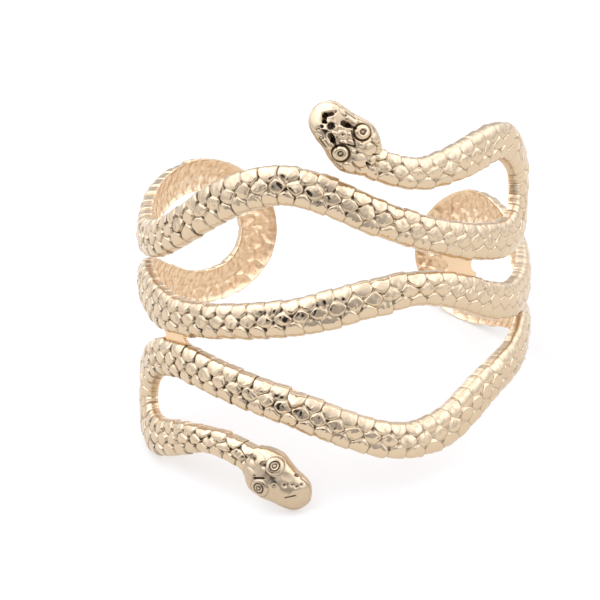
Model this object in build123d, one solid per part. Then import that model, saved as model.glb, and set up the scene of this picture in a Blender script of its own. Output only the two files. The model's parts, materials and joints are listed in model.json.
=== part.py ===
# A serpent arm cuff with a head at each end, cast in one piece.
# Millimetres, +Z up. The cuff is worn on an upright arm with its heads to the front, -Y,
# and its opening to the back. At the end it is set down as it rests on a table by itself.
import os

import numpy as np
from build123d import *

# Driving dimensions
CUFF_RADIUS = 37.5  # axis of the arm to the crest of the body
CUFF_HEIGHT = 74.0  # along the arm, nose to nose
BODY_WIDTH = 7.0
BODY_THICKNESS = 2.9  # back of the rims to the crest
RIM_HEIGHT = 0.8  # side wall of the band
BACK_HOLLOW = 0.7  # depth of the dished back
SCALE_PITCH = 3.3  # along the body
SCALE_RELIEF = 0.3  # scale over the groove beside it
HEAD_LENGTH = 14.0
HEAD_WIDTH = 10.2
HEAD_THICKNESS = 4.1
UPPER_HEAD_SIZE = 1.0  # the heads are one pattern, the lower one a little smaller
LOWER_HEAD_SIZE = 0.93
EYE_RADIUS = 1.55
EYE_RISE = 0.55
EYE_SPACING = 5.3  # centre to centre
SHIELD_RISE = 0.3  # plates on the heads
BOSS_SEAT = 0.6  # how deep eyes and plates are cast into the head
WEB_THICKNESS = 0.9  # flat webs that tie two strands together
WEB_INSET = 0.3  # from the back of the rims to the back of a web
WEB_BITE = 1.2  # how far a web runs into each strand
START_TILT = 30.0  # about how far the cuff tips back on a table, in degrees

BACK_RADIUS = CUFF_RADIUS - BODY_THICKNESS
MID_RADIUS = CUFF_RADIUS - BODY_THICKNESS / 2

# The serpent's centre line, from the upper nose to the lower one: the angle round the arm
# from the front, positive to the wearer's right side, the height above the middle as a share
# of CUFF_HEIGHT, and the width as a share of BODY_WIDTH.
ROUTE = [
    # angle, height, width
    # upper head and neck
    (-1.0, 0.522, 0.90),
    (9.0, 0.440, 0.90),
    (15.5, 0.394, 0.86),
    (23.0, 0.371, 0.80),
    (31.0, 0.365, 0.84),
    (42.0, 0.388, 0.94),
    (52.0, 0.417, 1.00),
    (62.0, 0.437, 1.00),
    (71.5, 0.416, 1.03),
    (78.0, 0.366, 1.06),
    (79.5, 0.303, 1.06),
    (77.0, 0.240, 1.03),
    (69.0, 0.200, 0.97),
    # upper strand
    (56.0, 0.190, 0.97),
    (42.0, 0.201, 0.92),
    (28.0, 0.228, 0.92),
    (14.0, 0.270, 0.97),
    (0.0, 0.319, 1.00),
    (-14.0, 0.336, 1.04),
    (-28.0, 0.305, 1.04),
    (-42.0, 0.250, 1.02),
    (-56.0, 0.203, 1.00),
    (-70.0, 0.185, 0.98),
    # left loop
    (-84.0, 0.201, 0.98),
    (-98.0, 0.253, 0.92),
    (-112.0, 0.300, 0.86),
    (-127.0, 0.322, 0.92),
    (-141.0, 0.292, 1.06),
    (-149.5, 0.209, 1.16),
    (-149.0, 0.122, 1.16),
    (-142.0, 0.052, 1.00),
    (-130.0, 0.023, 0.90),
    (-116.0, 0.035, 0.90),
    (-101.0, 0.065, 0.92),
    (-86.0, 0.076, 0.97),
    # middle strand
    (-72.0, 0.049, 1.03),
    (-58.0, 0.014, 1.03),
    (-44.0, 0.000, 0.94),
    (-30.0, 0.000, 0.92),
    (-16.0, 0.007, 0.94),
    (-2.0, 0.027, 0.98),
    (12.0, 0.058, 1.00),
    (26.0, 0.082, 0.93),
    (40.0, 0.078, 0.94),
    (54.0, 0.049, 0.97),
    (68.0, 0.036, 0.95),
    # right loop
    (82.0, 0.058, 0.97),
    (94.0, 0.107, 0.92),
    (106.0, 0.158, 0.82),
    (120.0, 0.210, 0.90),
    (135.0, 0.235, 1.03),
    (146.0, 0.189, 1.08),
    (150.0, 0.108, 1.08),
    (146.0, 0.024, 1.03),
    (135.0, -0.022, 1.00),
    (120.0, -0.026, 0.97),
    (104.0, -0.024, 0.97),
    # lower strand
    (88.0, -0.049, 0.97),
    (74.0, -0.105, 0.97),
    (62.0, -0.143, 0.97),
    (50.0, -0.197, 0.97),
    (38.0, -0.262, 0.97),
    (24.0, -0.286, 0.94),
    (10.0, -0.262, 0.94),
    (-4.0, -0.218, 0.97),
    (-18.0, -0.178, 0.94),
    (-32.0, -0.143, 0.94),
    (-46.0, -0.111, 0.97),
    (-60.0, -0.108, 1.00),
    # lower neck and head
    (-71.5, -0.151, 1.12),
    (-75.5, -0.219, 1.20),
    (-71.5, -0.284, 1.12),
    (-60.0, -0.312, 1.00),
    (-49.0, -0.304, 0.88),
    (-38.0, -0.296, 0.70),
    (-28.5, -0.308, 0.70),
    (-21.0, -0.334, 0.76),
    (-14.5, -0.372, 0.80),
    (-4.0, -0.428, 0.80),
]

# A head from the nose back: how far along as a share of HEAD_LENGTH, the width as a share
# of HEAD_WIDTH and the thickness as a share of HEAD_THICKNESS.
HEAD = [
    # along, width, thickness
    (0.00, 0.34, 0.42),
    (0.04, 0.50, 0.60),
    (0.11, 0.64, 0.76),
    (0.21, 0.71, 0.87),
    (0.32, 0.76, 0.95),
    (0.44, 0.86, 1.00),
    (0.56, 0.96, 1.00),
    (0.66, 1.00, 0.98),
    (0.75, 0.97, 0.93),
    (0.84, 0.86, 0.86),
    (0.93, 0.71, 0.78),
]
HEAD_FLATNESS = 2.6  # of the top of a head, where 2 is an ellipse
BODY_FLATNESS = 2.0

# Across the band, edge to edge: the place as a share of the width, and which row of scales
# has its middle there. Edge scales and middle scales lie half a pitch apart.
COLUMNS = [
    # across, row
    (-0.50, "rim"),
    (-0.36, "edge"),
    (-0.19, "seam"),
    (0.00, "middle"),
    (0.19, "seam"),
    (0.36, "edge"),
    (0.50, "rim"),
]

# Plates cast on a head: along as a share of HEAD_LENGTH, across as a share of HEAD_WIDTH,
# then the plate's own length and width as shares of the same two sizes.
SHIELDS = [
    # along, across, length, width
    (0.22, -0.12, 0.18, 0.21),
    (0.22, 0.12, 0.18, 0.21),
    (0.41, -0.14, 0.15, 0.25),
    (0.41, 0.14, 0.15, 0.25),
    (0.58, 0.00, 0.22, 0.17),
    (0.82, -0.16, 0.20, 0.28),
    (0.82, 0.16, 0.20, 0.28),
]
SHIELD_SIDES = 8
EYE_ALONG = 0.60  # as a share of HEAD_LENGTH behind the nose
EYE_SIDES = 12

# Profiles from the foot to the top: radius as a share of the outline, height of the rise.
SHIELD_PROFILE = [
    # radius, height
    (1.00, 0.3),
    (0.80, 1.0),
]
EYE_PROFILE = [
    # radius, height
    (1.00, 0.1),
    (0.88, 0.9),
    (0.70, 1.0),
    (0.58, 0.4),
    (0.44, 0.4),
    (0.30, 0.9),
    (0.12, 0.9),
]

# The webs between two strands: the angles where each is narrowest, and the strand above it,
# counted from the upper neck as 0. The strand below it is the next one.
WEBS = [
    # from, to, strand
    (39.0, 48.5, 1),
    (-57.0, -46.5, 2),
]


def place(along, height, depth):
    """A point of the flat pattern bent round the arm, depth above the back of the band."""
    angle = along / MID_RADIUS
    radius = BACK_RADIUS + depth
    return np.array([radius * np.sin(angle), -radius * np.cos(angle), height])


def bulge(share, flatness):
    """How full the outside of the band is at a share of its width, 0 at the edge, 1 mid."""
    return (1 - abs(2 * share) ** flatness) ** (1 / flatness)


def centre_line():
    """Rows of along, height and width down the serpent, and the length up to each."""
    knots = [
        Vector(np.radians(angle) * MID_RADIUS, height * CUFF_HEIGHT, width * BODY_WIDTH)
        for angle, height, width in ROUTE
    ]
    curve = Spline(*knots)
    samples = 40 * len(ROUTE)
    rows = np.array([tuple(curve @ (i / samples)) for i in range(samples + 1)])
    steps = np.hypot(np.diff(rows[:, 0]), np.diff(rows[:, 1]))
    return rows, np.concatenate([[0.0], np.cumsum(steps)])


class Serpent:
    """The centre line, and the frames and rings that are taken from it."""

    def __init__(self):
        self.rows, self.lengths = centre_line()
        self.total = self.lengths[-1]
        onward = np.sign(np.diff(self.rows[:, 0]))
        turns = np.flatnonzero(np.diff(onward)) + 1
        self.strands = np.split(self.rows, turns)
        self.heads = {
            "upper": (0.0, 1, UPPER_HEAD_SIZE),
            "lower": (self.total, -1, LOWER_HEAD_SIZE),
        }

    def at(self, distance):
        """Along, height and width at a distance down the body."""
        return np.array([np.interp(distance, self.lengths, self.rows[:, i]) for i in range(3)])

    def sideways(self, distance):
        """The unit step across the band there, in the flat pattern."""
        run, rise, _ = self.at(distance + 0.2) - self.at(distance - 0.2)
        return np.array([-rise, run]) / np.hypot(run, rise)

    def surface(self, distance, across, width, thickness, flatness, sunk=0.0):
        """A point on the outside of the band."""
        spot = self.at(distance)[:2] + self.sideways(distance) * across
        depth = RIM_HEIGHT + (thickness - RIM_HEIGHT) * bulge(across / width, flatness) - sunk
        return place(spot[0], spot[1], depth)

    def ring(self, distance, width, thickness, flatness, raised=None):
        """Points round the band: across its outside, and back over its dished back."""
        points = []
        for share, row in COLUMNS:
            sunk = SCALE_RELIEF if raised and row not in (raised, "rim") else 0.0
            points.append(
                self.surface(distance, share * width, width, thickness, flatness, sunk)
            )
        for share, depth in ((0.5, 0.0), (0.0, BACK_HOLLOW), (-0.5, 0.0)):
            spot = self.at(distance)[:2] + self.sideways(distance) * share * width
            points.append(place(spot[0], spot[1], depth))
        return points

    def head_ring(self, head, along, width, thickness):
        """The ring at one row of the head's table."""
        nose, step, size = self.heads[head]
        return self.ring(
            nose + step * along * HEAD_LENGTH * size,
            width * HEAD_WIDTH * size,
            thickness * HEAD_THICKNESS * size,
            HEAD_FLATNESS,
        )

    def head_frame(self, head, along, across):
        """A point on top of a head, and the directions out of it, forward and sideways."""
        nose, step, size = self.heads[head]
        table = np.array(HEAD)

        def on_top(further, aside):
            share = along + further
            width = np.interp(share, table[:, 0], table[:, 1]) * HEAD_WIDTH * size
            thickness = np.interp(share, table[:, 0], table[:, 2]) * HEAD_THICKNESS * size
            distance = nose + step * share * HEAD_LENGTH * size
            beside = (across + aside) * HEAD_WIDTH * size
            return self.surface(distance, beside, width, thickness, HEAD_FLATNESS)

        spot = on_top(0.0, 0.0)
        forward = on_top(0.02, 0.0) - on_top(-0.02, 0.0)
        forward /= np.linalg.norm(forward)
        aside = on_top(0.0, 0.02) - on_top(0.0, -0.02)
        outward = np.cross(forward, aside)
        outward *= np.sign(outward @ (spot * (1, 1, 0))) / np.linalg.norm(outward)
        return spot, outward, forward, np.cross(outward, forward)

    def strand_edge(self, strand, angle, side):
        """Height of a strand's upper (1) or lower (-1) edge at an angle round the arm."""
        rows = self.strands[strand]
        step = np.gradient(rows[:, :2], axis=0)
        upward = np.column_stack([-step[:, 1], step[:, 0]]) * np.sign(step[:, :1])
        upward /= np.linalg.norm(upward, axis=1)[:, None]
        edge = rows[:, :2] + side * upward * rows[:, 2:] / 2
        edge = edge[np.argsort(edge[:, 0])]
        return np.interp(np.radians(angle) * MID_RADIUS, edge[:, 0], edge[:, 1])


def body_rings(serpent):
    """Every ring from the upper nose to the lower one, with the scales raised at each."""
    rings = [(serpent.head_ring("upper", *row), None) for row in HEAD]
    start = HEAD_LENGTH * UPPER_HEAD_SIZE
    end = serpent.total - HEAD_LENGTH * LOWER_HEAD_SIZE
    count = 2 * round((end - start) / SCALE_PITCH)
    for k in range(count + 1):
        distance = start + (end - start) * k / count
        raised = "edge" if k % 2 == 0 else "middle"
        width = serpent.at(distance)[2]
        ring = serpent.ring(distance, width, BODY_THICKNESS, BODY_FLATNESS, raised)
        rings.append((ring, raised))
    rings += [(serpent.head_ring("lower", *row), None) for row in reversed(HEAD)]
    return rings


def skin(rings):
    """Triangles over the rings, with the peak of each scale joined to its corners."""
    triangles = []
    size = len(rings[0][0])
    peaks = [[j < len(COLUMNS) and COLUMNS[j][1] == raised for j in range(size)]
             for _, raised in rings]
    for k in range(len(rings) - 1):
        near, far = rings[k][0], rings[k + 1][0]
        for j in range(size):
            m = (j + 1) % size
            if peaks[k][j] or peaks[k + 1][m]:
                triangles += [(near[j], far[m], near[m]), (near[j], far[j], far[m])]
            else:
                triangles += [(near[j], far[j], near[m]), (near[m], far[j], far[m])]
    for ring, turn in ((rings[0][0], 1), (rings[-1][0], -1)):
        middle = sum(ring) / size
        triangles += [(middle, ring[j], ring[(j + 1) % size])[::turn] for j in range(size)]
    return triangles


def boss(frame, length, width, rise, profile, sides):
    """Triangles of a low oval boss that stands on a head and is seated into it."""
    spot, outward, forward, aside = frame
    turns = np.arange(sides) * 2 * np.pi / sides
    rows = [(profile[0][0], -BOSS_SEAT)] + [(share, high * rise) for share, high in profile]
    rings = []
    for share, high in rows:
        reach = share / 2 * (
            np.outer(np.cos(turns), forward) * length + np.outer(np.sin(turns), aside) * width
        )
        rings.append(spot + outward * high + reach)
    triangles = []
    for low, top in zip(rings, rings[1:]):
        for j in range(sides):
            m = (j + 1) % sides
            triangles += [(low[j], low[m], top[j]), (low[m], top[m], top[j])]
    for ring, turn in ((rings[0], -1), (rings[-1], 1)):
        middle = ring.mean(axis=0)
        triangles += [(middle, ring[j], ring[(j + 1) % sides])[::turn] for j in range(sides)]
    return triangles


def head_bosses(serpent, head):
    """The eyes and the raised plates of one head."""
    size = serpent.heads[head][2]
    bosses = []
    for side in (-1, 1):
        frame = serpent.head_frame(head, EYE_ALONG, side * EYE_SPACING / 2 / HEAD_WIDTH)
        eye = 2 * EYE_RADIUS * size
        bosses.append(boss(frame, eye, eye, EYE_RISE * size, EYE_PROFILE, EYE_SIDES))
    for along, across, length, width in SHIELDS:
        frame = serpent.head_frame(head, along, across)
        bosses.append(
            boss(frame, length * HEAD_LENGTH * size, width * HEAD_WIDTH * size,
                 SHIELD_RISE * size, SHIELD_PROFILE, SHIELD_SIDES)
        )
    return bosses


def web(serpent, start, end, strand):
    """A flat web behind the gap between two strands, with a rounded hole end at each side."""
    middle = (start + end) / 2
    top = serpent.strand_edge(strand, middle, -1)
    bottom = serpent.strand_edge(strand + 1, middle, 1)
    height = top - bottom + 2 * WEB_BITE
    inner = BACK_RADIUS + WEB_INSET
    round_end = (top - bottom) / 2
    spread = np.degrees(round_end / inner)
    at_gap = Location((0, 0, (top + bottom) / 2))
    sector = make_face(Polyline((0, 0), *[
        (2 * CUFF_RADIUS * np.sin(angle), -2 * CUFF_RADIUS * np.cos(angle))
        for angle in np.radians([start - spread, end + spread])
    ], close=True))
    band = Cylinder(inner + WEB_THICKNESS, height) - Cylinder(inner, height)
    plate = band & extrude(sector, height, both=True)
    for angle in (start - spread, end + spread):
        hole = Cylinder(round_end, 4 * CUFF_RADIUS, rotation=(90, 0, angle))
        plate -= hole
    return plate.solid().locate(at_gap)


def solid_of(triangles):
    """A faceted solid with these triangles as its faces."""
    faces = [Face(Wire.make_polygon([Vector(*p) for p in corners])) for corners in triangles]
    return Solid(Shell(faces))


def mass_centre(triangles):
    """Centre of the space that closed triangles hold."""
    corners = np.array(triangles)
    volumes = np.einsum("ij,ij->i", corners[:, 0], np.cross(corners[:, 1], corners[:, 2]))
    return (corners.sum(axis=1) / 4 * volumes[:, None]).sum(axis=0) / volumes.sum()


def upward(tilt, lean):
    """The way that points up on the table, for a cuff tipped back and then sideways."""
    t, s = np.radians(tilt), np.radians(lean)
    return np.array([-np.sin(s), -np.sin(t) * np.cos(s), np.cos(t) * np.cos(s)])


def resting_tip(points, centre):
    """Tilt and lean at which the centre of mass lies as low as it can, near the start."""
    def centre_height(tip):
        up = upward(*tip)
        return centre @ up - (points @ up).min()

    turns = np.radians(np.arange(0, 360, 5))
    tip = np.array([START_TILT, 0.0])
    step = 4.0
    while step > 0.001:
        tries = [tip + step * np.array([np.cos(turn), np.sin(turn)]) for turn in turns]
        best = min(tries, key=centre_height)
        if centre_height(best) < centre_height(tip):
            tip = best
        else:
            step /= 2
    return tip


def set_down(solid, tip):
    """The cuff as it rests on the table, over the middle of its own footprint."""
    tilt, lean = tip
    rested = solid.rotate(Axis.X, -tilt).rotate(Axis.Y, lean)
    box = rested.bounding_box()
    return rested.translate(Vector(-box.center().X, -box.center().Y, -box.min.Z))


def main():
    serpent = Serpent()
    rings = body_rings(serpent)
    triangles = skin(rings)
    body = solid_of(triangles)
    bosses = [solid_of(b) for head in serpent.heads for b in head_bosses(serpent, head)]
    webs = [web(serpent, *row) for row in WEBS]
    cuff = body.fuse(*bosses, *webs).solid()
    points = np.array([point for ring, _ in rings for point in ring])
    tip = resting_tip(points, mass_centre(triangles))
    cuff = set_down(cuff, tip)
    print("centre line", round(serpent.total, 1), "mm, rests tipped back", round(tip[0], 2),
          "and aside", round(tip[1], 2), "degrees")
    print("volume", round(cuff.volume, 1), "mm3, faces", len(cuff.faces()))
    os.makedirs("parts", exist_ok=True)
    export_step(cuff, "parts/serpent_cuff.step")


if __name__ == "__main__":
    main()
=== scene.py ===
# %% [markdown]
# # A serpent arm cuff in polished plate
# The real thing is one casting: a strip of zinc alloy about 7 mm wide, shaped as a snake that winds
# to and fro across the front of the arm, with a head at each end, and plated in a pale gold. There
# is no joint, stone or rivet in it. So the picture stands or falls by two things: the relief of the
# scales, which is real metal and is built as geometry here, and the way polished plate takes the
# studio's light. The solid model gives place and size, and this script dresses it.

# %% Load the solid model
import json
import math

import bpy
import numpy as np
from mathutils import Matrix, Vector


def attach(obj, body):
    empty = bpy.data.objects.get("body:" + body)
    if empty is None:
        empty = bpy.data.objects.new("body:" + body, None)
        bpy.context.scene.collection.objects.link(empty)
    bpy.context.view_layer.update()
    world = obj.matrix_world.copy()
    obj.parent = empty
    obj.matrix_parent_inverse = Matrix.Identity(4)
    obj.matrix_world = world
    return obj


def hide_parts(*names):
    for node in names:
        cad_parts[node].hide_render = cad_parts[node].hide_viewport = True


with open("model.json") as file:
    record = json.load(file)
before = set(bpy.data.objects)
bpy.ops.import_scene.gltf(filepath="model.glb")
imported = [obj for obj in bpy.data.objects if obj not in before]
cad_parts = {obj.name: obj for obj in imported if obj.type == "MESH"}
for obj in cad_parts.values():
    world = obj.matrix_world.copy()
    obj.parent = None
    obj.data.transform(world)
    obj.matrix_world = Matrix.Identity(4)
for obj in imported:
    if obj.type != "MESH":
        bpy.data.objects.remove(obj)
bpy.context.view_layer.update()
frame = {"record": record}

# %% [markdown]
# ## Where the arm would be
# The cuff lies on the table tipped back, as it comes to rest by itself. It is much easier to shape
# it upright, round an arm that runs along Z, and to lay it down afterwards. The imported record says
# where the hollow for the arm is and which way it leans, so the two frames are joined through it.

# %% From the worn frame to the table
hollow = next(m for m in frame["record"]["mounts"] if m["name"] == "arm_hollow")
arm_point = np.array(hollow["pos_m"])
arm_axis = np.array(hollow["axis"])
tip_back = math.asin(arm_axis[1])
lean = math.atan2(arm_axis[0], arm_axis[2])
lay_down = np.array(Matrix.Rotation(lean, 3, "Y") @ Matrix.Rotation(-tip_back, 3, "X"))


def on_table(points):
    """Points of the worn frame, in millimetres, as they lie on the table, in metres."""
    return np.asarray(points) @ lay_down.T * 0.001 + arm_point


print("tipped back", round(math.degrees(tip_back), 1), "and aside", round(math.degrees(lean), 1))

# %% [markdown]
# ## The course of the snake
# A winding band on a cylinder is easiest to draw unrolled. Each row of this table is a point that
# the middle of the body passes through: the angle round the arm in degrees from the front, the
# height as a share of the cuff's height, and the width there as a share of the body's. They are
# the solid model's own values. A cubic spline through them is what a bent strip does by itself: it
# turns smoothly, with no flat spots between the points.

# %% Sizes in millimetres and the course
CUFF_RADIUS = 37.5
CUFF_HEIGHT = 74.0
BODY_WIDTH = 7.0
BODY_THICKNESS = 2.9
RIM_HEIGHT = 0.8
BACK_HOLLOW = 0.7
SCALE_PITCH = 3.3
POINTS_PER_KNOT = 60
BACK_RADIUS = CUFF_RADIUS - BODY_THICKNESS
MID_RADIUS = CUFF_RADIUS - BODY_THICKNESS / 2
COURSE = [
    # angle, height, width
    # upper head and neck
    (-1.0, 0.522, 0.90), (9.0, 0.440, 0.90), (15.5, 0.394, 0.86), (23.0, 0.371, 0.80),
    (31.0, 0.365, 0.84), (42.0, 0.388, 0.94), (52.0, 0.417, 1.00), (62.0, 0.437, 1.00),
    (71.5, 0.416, 1.03), (78.0, 0.366, 1.06), (79.5, 0.303, 1.06), (77.0, 0.240, 1.03),
    (69.0, 0.200, 0.97),
    # upper strand
    (56.0, 0.190, 0.97), (42.0, 0.201, 0.92), (28.0, 0.228, 0.92), (14.0, 0.270, 0.97),
    (0.0, 0.319, 1.00), (-14.0, 0.336, 1.04), (-28.0, 0.305, 1.04), (-42.0, 0.250, 1.02),
    (-56.0, 0.203, 1.00), (-70.0, 0.185, 0.98),
    # left loop
    (-84.0, 0.201, 0.98), (-98.0, 0.253, 0.92), (-112.0, 0.300, 0.86), (-127.0, 0.322, 0.92),
    (-141.0, 0.292, 1.06), (-149.5, 0.209, 1.16), (-149.0, 0.122, 1.16), (-142.0, 0.052, 1.00),
    (-130.0, 0.023, 0.90), (-116.0, 0.035, 0.90), (-101.0, 0.065, 0.92), (-86.0, 0.076, 0.97),
    # middle strand
    (-72.0, 0.049, 1.03), (-58.0, 0.014, 1.03), (-44.0, 0.000, 0.94), (-30.0, 0.000, 0.92),
    (-16.0, 0.007, 0.94), (-2.0, 0.027, 0.98), (12.0, 0.058, 1.00), (26.0, 0.082, 0.93),
    (40.0, 0.078, 0.94), (54.0, 0.049, 0.97), (68.0, 0.036, 0.95),
    # right loop
    (82.0, 0.058, 0.97), (94.0, 0.107, 0.92), (106.0, 0.158, 0.82), (120.0, 0.210, 0.90),
    (135.0, 0.235, 1.03), (146.0, 0.189, 1.08), (150.0, 0.108, 1.08), (146.0, 0.024, 1.03),
    (135.0, -0.022, 1.00), (120.0, -0.026, 0.97), (104.0, -0.024, 0.97),
    # lower strand
    (88.0, -0.049, 0.97), (74.0, -0.105, 0.97), (62.0, -0.143, 0.97), (50.0, -0.197, 0.97),
    (38.0, -0.262, 0.97), (24.0, -0.286, 0.94), (10.0, -0.262, 0.94), (-4.0, -0.218, 0.97),
    (-18.0, -0.178, 0.94), (-32.0, -0.143, 0.94), (-46.0, -0.111, 0.97), (-60.0, -0.108, 1.00),
    # lower neck and head
    (-71.5, -0.151, 1.12), (-75.5, -0.219, 1.20), (-71.5, -0.284, 1.12), (-60.0, -0.312, 1.00),
    (-49.0, -0.304, 0.88), (-38.0, -0.296, 0.70), (-28.5, -0.308, 0.70), (-21.0, -0.334, 0.76),
    (-14.5, -0.372, 0.80), (-4.0, -0.428, 0.80),
]


def spline_through(knots, count):
    """Points of the natural cubic spline through the knots, spaced by chord length."""
    gaps = np.linalg.norm(np.diff(knots, axis=0), axis=1)
    at = np.concatenate([[0.0], np.cumsum(gaps)])
    size = len(knots)
    bends = np.zeros((size, size))
    pull = np.zeros_like(knots)
    bends[0, 0] = bends[-1, -1] = 1.0
    for i in range(1, size - 1):
        bends[i, i - 1:i + 2] = gaps[i - 1], 2 * (gaps[i - 1] + gaps[i]), gaps[i]
        slopes = (knots[i + 1] - knots[i]) / gaps[i] - (knots[i] - knots[i - 1]) / gaps[i - 1]
        pull[i] = 6 * slopes
    curving = np.linalg.solve(bends, pull)
    where = np.linspace(0, at[-1], count)
    i = np.clip(np.searchsorted(at, where) - 1, 0, size - 2)
    gap = gaps[i][:, None]
    after = (where - at[i])[:, None]
    before = gap - after
    return (
        (curving[i] * before**3 + curving[i + 1] * after**3) / (6 * gap)
        + (knots[i] / gap - curving[i] * gap / 6) * before
        + (knots[i + 1] / gap - curving[i + 1] * gap / 6) * after
    )


knots = np.array([
    (math.radians(angle) * MID_RADIUS, height * CUFF_HEIGHT, width * BODY_WIDTH)
    for angle, height, width in COURSE
])
course = spline_through(knots, POINTS_PER_KNOT * len(knots))
steps = np.hypot(np.diff(course[:, 0]), np.diff(course[:, 1]))
run = np.concatenate([[0.0], np.cumsum(steps)])
BODY_LENGTH = run[-1]
print("the snake is", round(BODY_LENGTH, 1), "mm from nose to nose")

# %% [markdown]
# ## One section for body and heads
# Cut through anywhere, the band is a D: a bulging outside, a short upright rim and a dished back.
# A head has the same section, wider and flatter on top. So one function gives every section from
# nose to nose, and the places where a head grows out of the neck take care of themselves. The
# table below is the outline of a head from the nose back. The snout is rounder here than in the
# solid model, and stands a little further out, so the course is carried on by a millimetre past
# both its ends.

# %% Width, thickness and fullness along the snake
HEAD_LENGTH = 14.6
HEAD_WIDTH = 10.2
HEAD_THICKNESS = 4.1
UPPER_HEAD = 1.0
LOWER_HEAD = 0.93
HEAD = np.array([
    # share of the head's length, share of its width, share of its thickness
    (0.00, 0.69, 0.66), (0.12, 0.70, 0.78), (0.24, 0.73, 0.89), (0.35, 0.78, 0.95),
    (0.46, 0.86, 1.00), (0.58, 0.96, 1.00), (0.67, 1.00, 0.98), (0.76, 0.97, 0.93),
    (0.85, 0.86, 0.86), (0.93, 0.71, 0.78),
])
NOSE_ROUND = 0.21
NOSE_REACH = 0.6
# how full the bulge is: with a slant of 1, a flatness of 2 makes an ellipse and more a boxier
# shape, and a slant under 1 makes the foot of it steeper
HEAD_FLATNESS = (2.6, 2.05)
BODY_FLATNESS = 2.3
EDGE_SLANT = 0.8
UPPER_NOSE = -NOSE_REACH * UPPER_HEAD
LOWER_NOSE = BODY_LENGTH + NOSE_REACH * LOWER_HEAD
ahead = course[0] + (course[0] - course[1]) / steps[0]
beyond = course[-1] + (course[-1] - course[-2]) / steps[-1]
course = np.vstack([ahead, course, beyond])
run = np.concatenate([[-1.0], run, [BODY_LENGTH + 1.0]])


def along_course(distance):
    """Along, height and width of the course at distances down the snake."""
    return np.stack([np.interp(distance, run, course[:, i]) for i in range(3)], axis=-1)


def from_noses(distance):
    """How far back from each nose a place is, in sizes of that head."""
    return (distance - UPPER_NOSE) / UPPER_HEAD, (LOWER_NOSE - distance) / LOWER_HEAD


def ease(value):
    """A soft step from 0 to 1."""
    value = np.clip(value, 0, 1)
    return value**2 * (3 - 2 * value)


def sizes_at(distance):
    """Width, thickness, flatness and nose rounding at distances down the snake."""
    width = along_course(distance)[..., 2]
    thickness = np.full_like(distance, BODY_THICKNESS)
    flatness = np.full_like(distance, BODY_FLATNESS)
    rounding = np.ones_like(distance)
    for back, size, flat in zip(from_noses(distance), (UPPER_HEAD, LOWER_HEAD), HEAD_FLATNESS):
        share = back / HEAD_LENGTH
        blend = ease((1.0 - share) / (1.0 - HEAD[-1, 0]))
        wide = np.interp(share, HEAD[:, 0], HEAD[:, 1]) * HEAD_WIDTH * size
        thick = np.interp(share, HEAD[:, 0], HEAD[:, 2]) * HEAD_THICKNESS * size
        width = width + blend * (wide - width)
        thickness = thickness + blend * (thick - thickness)
        flatness = flatness + blend * (flat - BODY_FLATNESS)
        front = np.clip(1 - share / NOSE_ROUND, 0, 1)
        rounding *= np.sqrt(np.clip(1 - front**2, 0, 1))
    return width, thickness, flatness, rounding


at_eyes = sizes_at(np.array([UPPER_NOSE + 9.0]))
print("across the upper eyes, mm wide and thick:", [round(float(v[0]), 2) for v in at_eyes[:2]])

# %% [markdown]
# ## A mesh that follows the scales
# A sharp valley that runs slantwise over a square mesh comes out as a row of steps. So the mesh
# is laid along the scales instead: rows of points fall on the valleys that cross the body, and one
# column each side follows the zigzag between the edge scales and the middle ones.

# %% Where the scales lie
# the zigzag's middle and swing as shares of the width, how round its points are and how far it strays
SEAM_SHARE = 0.15
SEAM_SWING = 0.08
SEAM_ROUND = 0.4
SEAM_STRAY = 0.016
BODY_START = (HEAD_LENGTH - NOSE_REACH) * UPPER_HEAD
BODY_END = BODY_LENGTH - (HEAD_LENGTH - NOSE_REACH) * LOWER_HEAD
SCALE_COUNT = round((BODY_END - BODY_START) / SCALE_PITCH)
SCALE_STEP = (BODY_END - BODY_START) / SCALE_COUNT
# millimetres behind a nose at which the mesh starts to follow the scales, and over which it does
FOLLOW_FROM = 13.8
FOLLOW_OVER = 1.6


def waves(along, across, seed):
    """Smooth unevenness made of nine crossing waves, mostly within -1 and 1."""
    draw = np.random.default_rng(seed)
    total = np.zeros(np.broadcast(along, across).shape)
    for _ in range(9):
        turn, phase = draw.uniform(0, 2 * math.pi, 2)
        pace = draw.uniform(0.9, 2.6)
        total += np.sin(pace * (np.cos(turn) * along + np.sin(turn) * across) + phase)
    return total / 4


def seam_at(distance, share):
    """Where the zigzag runs, as a share of the width, on the side of each point."""
    phase = (distance - BODY_START) / SCALE_STEP
    zigzag = 4 * np.abs(phase - np.round(phase)) - 1
    swing = (1 - SEAM_ROUND) * zigzag - SEAM_ROUND * np.cos(2 * math.pi * phase)
    stray = SEAM_STRAY * waves(distance, 9 * np.sign(share), 2)
    return SEAM_SHARE + SEAM_SWING * swing + stray


def follow_seam(distance, share):
    """Shares of the width, moved so that the seam's column lies on the zigzag."""
    size = np.abs(share)
    seam = seam_at(distance, share)
    inside = size * seam / SEAM_SHARE
    outside = 0.5 - (0.5 - size) * (0.5 - seam) / (0.5 - SEAM_SHARE)
    moved = np.sign(share) * np.where(size <= SEAM_SHARE, inside, outside)
    nearest = np.minimum(*from_noses(distance))
    return share + (moved - share) * ease((nearest - FOLLOW_FROM) / FOLLOW_OVER)


print(SCALE_COUNT, "scales in a row, every", round(SCALE_STEP, 2), "mm")

# %% [markdown]
# ## The smooth skin
# Three zones run round the section: the outside, the rims and the back. A column of points has a
# place across in one of them, and a rim's columns have a level too, from the back up to the foot
# of the bulge. The band is cast from a hand-cut pattern, so it isn't quite true: it strays by a
# tenth or two of a millimetre in width and course. That costs nothing and takes away the look of a
# tube. The heads stay true.

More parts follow.
